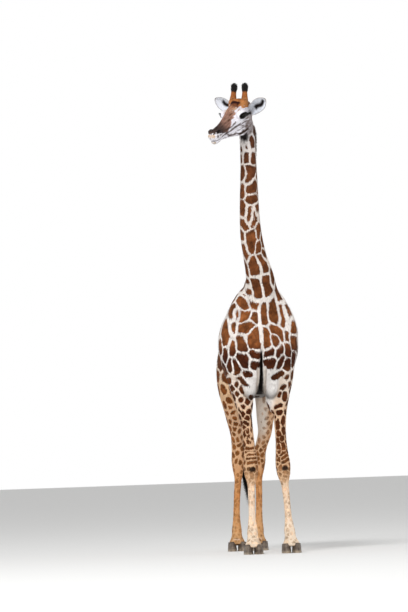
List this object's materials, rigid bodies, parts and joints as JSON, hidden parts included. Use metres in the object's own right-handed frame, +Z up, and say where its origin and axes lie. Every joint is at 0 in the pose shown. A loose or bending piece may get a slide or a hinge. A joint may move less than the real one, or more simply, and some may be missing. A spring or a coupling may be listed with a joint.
{
  "type": "giraffe",
  "caption": "Life-size standing female southern giraffe, head turned to its right, tail hanging behind.",
  "frame": {"origin": "on the floor under the middle of the bounding box", "axes": "+Z up, the animal faces -Y and its left side is +X"},
  "size_m": [0.8244, 2.367, 4.3225],
  "materials": {
    "coat": "short glossy hair, brown patches on a cream ground",
    "horn": "skin-covered horn, short brown hair with a black tuft",
    "hair": "long coarse black tail hair",
    "hoof": "dusty grey-brown horn",
    "eye": "wet, nearly black"
  },
  "bodies": {
    "root": {"torso": "coat", "neck": "coat", "head": "coat", "ear_left": "coat", "ear_right": "coat", "ossicone_left": "horn", "ossicone_right": "horn", "eye_left": "eye", "eye_right": "eye", "foreleg_left": "coat", "foreleg_right": "coat", "hindleg_left": "coat", "hindleg_right": "coat", "hoof_foreleg_left_inner": "hoof", "hoof_foreleg_left_outer": "hoof", "hoof_foreleg_right_inner": "hoof", "hoof_foreleg_right_outer": "hoof", "hoof_hindleg_left_inner": "hoof", "hoof_hindleg_left_outer": "hoof", "hoof_hindleg_right_inner": "hoof", "hoof_hindleg_right_outer": "hoof", "tail": "hair"}
  },
  "joints": []
}
